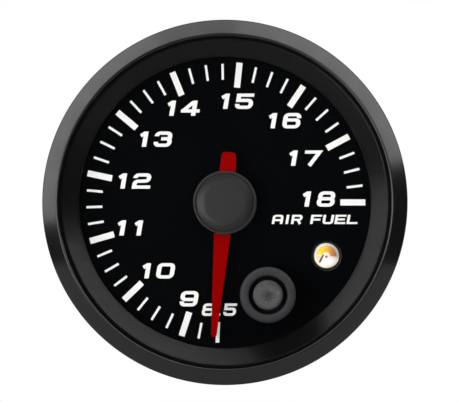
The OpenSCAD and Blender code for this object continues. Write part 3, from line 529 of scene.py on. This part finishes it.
# Splits a quad into two counterclockwise triangles, and leaves out one without area
def halves(quad):
    for patch in (quad[:3], [quad[0], quad[2], quad[3]]):
        (ax, ay), (bx, by), (cx, cy) = patch
        area = (bx - ax) * (cy - ay) - (cx - ax) * (by - ay)
        if abs(area) > pen["merge"] ** 2:
            yield np.array(patch if area > 0 else patch[::-1])


# The pieces of one stroke of a glyph, leaned over and moved to its place
def glyphPatches(x, y, size, wide, stroke):
    left, right, closed = penStroke(stroke, size, wide)
    edges = [np.stack([x + e[:, 0] + pen["lean"] * e[:, 1], y + e[:, 1]], axis=1) for e in (left, right)]
    pieces = len(left) if closed else len(left) - 1
    for k in range(pieces):
        n = (k + 1) % len(left)
        yield from halves([edges[0][k], edges[1][k], edges[1][n], edges[0][n]])


# One mark of the scale: a bar along a radius, a little larger all round than the opening under it
def bar(turnDeg, outer, long, wide, over):
    turn = np.radians(turnDeg)
    along, across = np.array([np.cos(turn), np.sin(turn)]), np.array([-np.sin(turn), np.cos(turn)])
    far, near, half = outer + over, outer - long - over, wide / 2 + over
    return list(halves([along * near - across * half, along * far - across * half,
                        along * far + across * half, along * near + across * half]))


def makePrint(m):
    patches = bar(m["lowAt"], *m["low"], m["over"])
    for k in range(m["steps"]):
        patches += bar(k * m["stepDeg"], *(m["fine"] if k % m["each"] else m["unit"]), m["over"])
    glyphs = dialText + list(captionGlyphs(caption))
    for glyph, *place in glyphs:
        for stroke in strokes[glyph]:
            patches.extend(glyphPatches(*place, stroke))
    front = pen["dialFront"]
    dress(inkFilm("dial_print", patches, front - pen["ink"], front + pen["ink"]), "dial_white")
    cover = bar(m["steps"] * m["stepDeg"], *m["low"], m["coverOver"])
    dress(inkFilm("dial_touch_up", cover, front - pen["ink"], front + pen["ink"] / 2), "dial_black")
    print("gauge: print,", len(glyphs), "glyphs")


makePrint(marks)


# Pointer cap: flat disc that falls off softly, a fine groove and a low rim
cap = {"rim": 5.25, "rimFront": 4.85, "base": 4.1, "grooveOut": 4.8, "grooveFoot": 4.55, "disc": 4.65,
       "front": 5.5, "bevel": 1.5, "drop": 0.4, "steps": 14, "hub": 1.5, "hubFront": 4.5,
       "rimRound": 0.15, "grooveRound": 0.04, "backRound": 0.05, "sharpDeg": 50}


# The disc falls off towards its edge as a parabola: s = front - drop t^2, r = disc - bevel (1 - t)
def makeCap(c):
    t = np.linspace(1, 0, c["steps"])
    fall = zip(c["disc"] - c["bevel"] * (1 - t), c["front"] - c["drop"] * t ** 2)
    profile = [
        (0, c["hubFront"], 0), (c["hub"], c["hubFront"], 0), (c["hub"], c["base"], 0),
        (c["rim"], c["base"], c["backRound"]), (c["rim"], c["rimFront"], c["rimRound"]),
        (c["grooveOut"], c["rimFront"], c["grooveRound"]), (c["grooveOut"], c["grooveFoot"], 0),
        (c["disc"], c["grooveFoot"], 0)]
    profile += [(r, s, 0) for r, s in fall] + [(0, c["front"], 0)]
    piece = dress(turned("cap_disc", profile, "pointer", sharpDeg=c["sharpDeg"]), "cap_grey")
    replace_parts(piece, "pointer_cap")


makeCap(cap)


# Function button: rounded ring and the rubber cap in it
button = {"ring": 4.6, "spigot": 3.9, "bore": 3.15, "foot": -0.2, "seat": 2.2, "front": 9.2,
          "outerRound": 0.7, "innerRound": 0.4, "top": 2.475, "guide": 3.1, "guideBack": 2.4,
          "guideFront": 3.9, "topFront": 9.4, "edge": 0.4, "dish": 1.75, "dishFoot": 9.37, "dishSlope": 0.15,
          "smallRound": 0.1, "guideRound": 0.05, "sharpDeg": 40}


def makeButton(b):
    ringProfile = [
        (b["bore"], b["foot"], 0), (b["spigot"], b["foot"], b["smallRound"]), (b["spigot"], b["seat"], 0),
        (b["ring"], b["seat"], 0), (b["ring"], b["front"], b["outerRound"]),
        (b["bore"], b["front"], b["innerRound"])]
    ring = turned("button_surround", ringProfile, "housing", buttonAt, sharpDeg=b["sharpDeg"])
    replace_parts(dress(ring, "ring_grey"), "button_ring")
    capProfile = [
        (0, b["guideBack"], 0), (b["guide"], b["guideBack"], b["guideRound"]),
        (b["guide"], b["guideFront"], b["guideRound"]), (b["top"], b["guideFront"], b["smallRound"]),
        (b["top"], b["topFront"], b["edge"]), (b["dish"], b["topFront"], b["smallRound"]),
        (b["dish"] - b["dishSlope"], b["dishFoot"], b["smallRound"]), (0, b["dishFoot"], 0)]
    top = turned("button_rubber_cap", capProfile, "button", buttonAt, sharpDeg=b["sharpDeg"])
    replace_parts(dress(top, "button_rubber"), "button_cap")


makeButton(button)
print("gauge: cap and button")


# Warning light: clear dome over its core
light = {"x": 16.665, "y": -8.787, "radius": 2.4, "front": 5.8, "back": -2.8, "flange": 2.8,
         "flangeFront": -1.8, "flangeRound": 0.1, "core": 2.1, "coreFront": 5.4, "coreBack": 0.4, "steps": 24,
         "sides": 96}


# Half of a round-nosed rod: s = front - radius (1 - cos t), r = radius sin t, then straight back
def domeProfile(radius, front, back, steps):
    t = np.linspace(0, np.pi / 2, steps)
    nose = [(r, s, 0) for r, s in zip(radius * np.sin(t), front - radius * (1 - np.cos(t)))]
    return nose + [(radius, back, 0), (0, back, 0)]


def makeLight(d):
    centre = (d["x"], d["y"])
    outer = domeProfile(d["radius"], d["front"], d["flangeFront"], d["steps"])[:-1]
    outer += [(d["flange"], d["flangeFront"], d["flangeRound"]), (d["flange"], d["back"], d["flangeRound"]),
              (0, d["back"], 0)]
    shell = dress(turned("lamp_dome", outer, "housing", centre, sides=d["sides"]), "clear_epoxy")
    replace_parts(shell, "warning_light_lens")
    inner = domeProfile(d["core"], d["coreFront"], d["coreBack"], d["steps"])
    core = turned("lamp_core", inner, "housing", centre, sides=d["sides"])
    core.data.materials.append(lampCore(centre))


makeLight(light)
print("gauge: warning light")


# Studs: M4 thread behind the cover, on a plain shank with a head inside
stud = {"apart": 32.0, "head": 3.0, "headFront": -31.8, "shank": 2.4, "case": -33.0, "cover": -35.5,
        "end": -47.5, "radius": 2.0, "pitch": 0.7, "depth": 0.38, "runOut": 0.9, "tip": 0.5, "step": 0.0875,
        "sides": 48, "sharpDeg": 60}


# Thread: r(s, v) = radius - depth |2 frac(s / pitch - v / 2 pi) - 1|, fading out at both ends
def makeStuds(d):
    v = np.linspace(0, 2 * np.pi, d["sides"], endpoint=False)
    s = np.arange(d["cover"] - d["tip"], d["end"] + d["tip"], -d["step"])
    wave = np.abs(2 * np.mod(s[:, None] / d["pitch"] - v / (2 * np.pi), 1) - 1)
    fade = np.clip(np.minimum(d["cover"] - d["tip"] - s, s - d["end"] - d["tip"]) / d["runOut"], 0, 1)
    thread = d["radius"] - d["depth"] * fade[:, None] * wave
    shank = [(0, d["headFront"]), (d["head"], d["headFront"]), (d["head"], d["case"]),
             (d["shank"], d["case"]), (d["shank"], d["cover"]), (d["radius"], d["cover"])]
    tip = [(d["radius"] - d["tip"], d["end"]), (0, d["end"])]
    plain = np.ones(d["sides"])
    r = np.concatenate([[p[0] * plain for p in shank], thread, [p[0] * plain for p in tip]])
    height = np.concatenate([[p[1] for p in shank], s, [p[1] for p in tip]])[:, None]
    for name, side in (("stud_left", -1), ("stud_right", 1)):
        points = toFrame(side * d["apart"] / 2 + r * np.cos(v), r * np.sin(v), height)
        faces = gridFaces(len(r), d["sides"], False, True)
        piece = solidMesh(name, points, faces, "housing", d["sharpDeg"])
        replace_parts(dress(piece, "zinc_steel"), "bracket_studs")


makeStuds(stud)


# Cover screws: round heads with a cross recess, each turned by slotTurn times the angle of its screw's place
coverScrew = {"ring": 20.6, "first": 20, "count": 3, "seat": -35.5, "shank": 1.1, "length": 9.2, "head": 1.9,
              "height": 1.3, "tipRound": 0.2, "edgeRound": 0.05, "headRound": 0.7, "slotWide": 0.42,
              "slotLong": 2.2, "slotDeep": 0.75, "slotFoot": 0.55, "slotOver": 0.2, "slotTurn": 2.3,
              "sides": 48}


# Cuts mm-sized cutters out of a mm-sized mesh exactly, then brings the result to metres as one new mesh
def cutOut(name, blank, cutters):
    for cutter in cutters:
        step = blank.modifiers.new("cut", "BOOLEAN")
        step.operation, step.solver, step.object = "DIFFERENCE", "EXACT", cutter
    bpy.context.view_layer.update()
    whole = bpy.data.meshes.new_from_object(blank.evaluated_get(bpy.context.evaluated_depsgraph_get()))
    whole.transform(Matrix.Scale(mm, 4))
    blank.modifiers.clear()
    blank.data = whole
    blank.name = name
    for cutter in cutters:
        bpy.data.objects.remove(cutter)
    return blank


# Two bars at right angles that cut the recess. At its foot they are only a share of their size.
def crossBars(x, y, d, turn):
    back = d["seat"] - d["height"]
    corners = np.array([(1, 1), (-1, 1), (-1, -1), (1, -1)]) * (d["slotWide"] / 2, d["slotLong"] / 2)
    across, along = np.concatenate([corners, corners * d["slotFoot"]]).T
    s = np.repeat([back - d["slotOver"], back + d["slotDeep"]], len(corners))
    faces = [[0, 1, 2, 3], [7, 6, 5, 4]] + [[k, k + 4, (k + 1) % 4 + 4, (k + 1) % 4] for k in range(4)]
    bars = []
    for angle in (turn, turn + np.pi / 2):
        points = toFrame(x + across * np.cos(angle) - along * np.sin(angle),
                         y + across * np.sin(angle) + along * np.cos(angle), s) / mm
        bars.append(solidMesh(f"recess_{len(bars)}", points, faces, None))
    return bars


def makeCoverScrews(d):
    for i in range(d["count"]):
        turn = np.radians(d["first"] + i * 360 / d["count"])
        x, y = d["ring"] * np.cos(turn), d["ring"] * np.sin(turn)
        back = d["seat"] - d["height"]
        tip = d["seat"] + d["length"]
        profile = [(0, tip, 0), (d["shank"], tip, d["tipRound"]), (d["shank"], d["seat"], 0),
                   (d["head"], d["seat"], d["edgeRound"]), (d["head"], back, d["headRound"]), (0, back, 0)]
        blank = turned(f"screw_{i}", profile, None, (x, y), sides=d["sides"])
        blank.data.transform(Matrix.Scale(1 / mm, 4))
        screw = cutOut(f"cover_screw_{i}", blank, crossBars(x, y, d, turn * d["slotTurn"]))
        smoothFaces(screw.data)
        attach(dress(screw, "zinc_steel"), "housing")
        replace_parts(screw, "cover_screws")


makeCoverScrews(coverScrew)
print("gauge: studs and screws")


# Studio: pale floor, white surroundings for the eye, and soft boxes on an arch over the gauge
studio = {
    # The sky brightens with the direction's z, and what is mirrored from behind the gauge turns white with
    # its y, each between two values
    "world": {"dark": 0.04, "sky": 0.25, "skyRun": (0.1, 0.5), "behindRun": (0.2, 0.6)},
    # mm; the lift brings the floor to white for the eye, and the shine is its glow in reflections
    "floor": {"drop": 36.0, "radius": 100.0, "sides": 96, "grey": "#bebebe", "lift": 0.22, "shine": 0.06},
    # The arch runs from one angle to another, counterclockwise from the right, and is dimmer round its gap
    "arch": {"from": 13, "to": 186, "boxes": 12, "forward": 0.21, "distance": 0.6, "depth": 0.3,
             "radiance": 4.5, "gapAt": 98, "gapWide": 15, "gapLoss": 1.9},
    "fronts": {
        "left": {"aim": (-0.52, -0.86, -0.12), "distance": 0.9, "size": (0.6, 0.7), "radiance": 6.0},
        "right": {"aim": (0.3, -0.86, 0.3), "distance": 0.9, "size": (0.6, 0.7), "radiance": 1.2},
    },
    # Distance and far end in metres, the rest in mm. Across and up lead from the axis to the middle of the
    # picture.
    "camera": {"distance": 2.0, "farEnd": 20.0, "across": 0.668, "up": 0.23, "frameWidth": 75.19,
               "rimPlane": 7.2, "sensor": 36.0},
}


# World: white for the eye and in reflections of what lies behind, and as light a weak sky over a dark room
def makeWorld(w):
    world = bpy.data.worlds.new("studio")
    bpy.context.scene.world = world
    world.use_nodes = True
    tree = world.node_tree
    tree.nodes.clear()
    axes = addNode(tree, "SeparateXYZ", {"Vector": addNode(tree, "TexCoord").outputs["Generated"]}).outputs
    sky = addNode(tree, "MapRange", {
        "Value": axes["Z"], "From Min": w["skyRun"][0], "From Max": w["skyRun"][1],
        "To Min": w["dark"], "To Max": w["sky"]}).outputs["Result"]
    behind = addNode(tree, "MapRange", {
        "Value": axes["Y"], "From Min": w["behindRun"][0], "From Max": w["behindRun"][1]}).outputs["Result"]
    rays = addNode(tree, "LightPath").outputs
    shiny = addNode(tree, "Math", {0: rays["Is Glossy Ray"], 1: behind}, operation="MULTIPLY")
    eye = addNode(
        tree, "Math", {0: rays["Is Camera Ray"], 1: rays["Is Transmission Ray"]}, operation="MAXIMUM")
    seen = addNode(tree, "Math", {0: eye.outputs["Value"], 1: shiny.outputs["Value"]}, operation="MAXIMUM")
    strength = addNode(tree, "Mix", {"Factor": seen.outputs["Value"], "A": sky, "B": 1.0}, data_type="FLOAT")
    background = addNode(tree, "Background", {
        "Color": toLinear("#ffffff"), "Strength": strength.outputs["Result"]})
    addNode(tree, "OutputWorld", {"Surface": background.outputs["Background"]})


# Pale floor: a disc that is lifted to white for the eye and for reflections, where nothing shades it
def makeFloor(f):
    turn = np.linspace(0, 2 * np.pi, f["sides"], endpoint=False)
    rim = toFrame(f["radius"] * np.cos(turn), -f["drop"], f["radius"] * np.sin(turn))
    data = bpy.data.meshes.new("floor")
    data.from_pydata(rim.tolist(), [], [list(range(f["sides"]))])
    floor = bpy.data.objects.new("floor", data)
    bpy.context.scene.collection.objects.link(floor)
    made, tree, shader = startMaterial(
        "palePaper", Base_Color=f["grey"], Roughness=0.9, Emission_Color="#ffffff")[:3]
    rays = addNode(tree, "LightPath").outputs
    eye = addNode(
        tree, "Math", {0: rays["Is Camera Ray"], 1: rays["Is Transmission Ray"]}, operation="MAXIMUM")
    lifted = addNode(tree, "Math", {0: eye.outputs["Value"], 1: f["lift"]}, operation="MULTIPLY")
    mirrored = addNode(tree, "Math", {0: rays["Is Glossy Ray"], 1: f["shine"]}, operation="MULTIPLY")
    glow = addNode(tree, "Math", {0: lifted.outputs["Value"], 1: mirrored.outputs["Value"]}, operation="ADD")
    tree.links.new(glow.outputs["Value"], shader.inputs["Emission Strength"])
    data.materials.append(made)


# Rectangular lamp that faces the gauge, in metres. Its power gives the radiance: watts = radiance pi area.
def makeSoftbox(name, aim, distance, size, radiance):
    source = bpy.data.lights.new(name, "AREA")
    source.shape = "RECTANGLE"
    source.size, source.size_y = size
    source.energy = radiance * np.pi * size[0] * size[1]
    made = bpy.data.objects.new(name, source)
    bpy.context.scene.collection.objects.link(made)
    outwards = Vector(aim).normalized()
    sideways = Vector((0, 1, 0)).cross(outwards).normalized()
    made.location = outwards * distance
    made.rotation_euler = Matrix((sideways, outwards.cross(sideways), outwards)).transposed().to_euler()
    made.visible_camera = False


# Soft boxes side by side on an arch that leans forward, where the bezel's slope mirrors them
def makeArch(a):
    step = (a["to"] - a["from"]) / a["boxes"]
    length = 2 * a["distance"] * np.tan(np.radians(step) / 2)
    for i in range(a["boxes"]):
        at = a["from"] + (i + 0.5) * step
        radiance = a["radiance"] - a["gapLoss"] * np.exp(-((at - a["gapAt"]) / a["gapWide"]) ** 2)
        turn = np.radians(at)
        makeSoftbox(f"softbox_{i}", (np.cos(turn), -a["forward"], np.sin(turn)), a["distance"],
                    (length, a["depth"]), radiance)


# Long lens, straight on: focal length = sensor x distance / width of the frame at the rim
def makeCamera(c):
    camera = bpy.data.cameras.new("camera")
    camera.sensor_width = c["sensor"]
    camera.lens = c["sensor"] * c["distance"] / (c["frameWidth"] * mm)
    camera.clip_end = c["farEnd"]
    made = bpy.data.objects.new("camera", camera)
    bpy.context.scene.collection.objects.link(made)
    made.location = toFrame(c["across"], c["up"], c["rimPlane"] + c["distance"] / mm)
    made.rotation_euler = (np.pi / 2, 0, 0)
    bpy.context.scene.camera = made


makeWorld(studio["world"])
makeFloor(studio["floor"])
makeArch(studio["arch"])
for side, box in studio["fronts"].items():
    makeSoftbox("softbox_front_" + side, **box)
makeCamera(studio["camera"])
bpy.context.scene.view_settings.view_transform = "Standard"
print("gauge: studio")
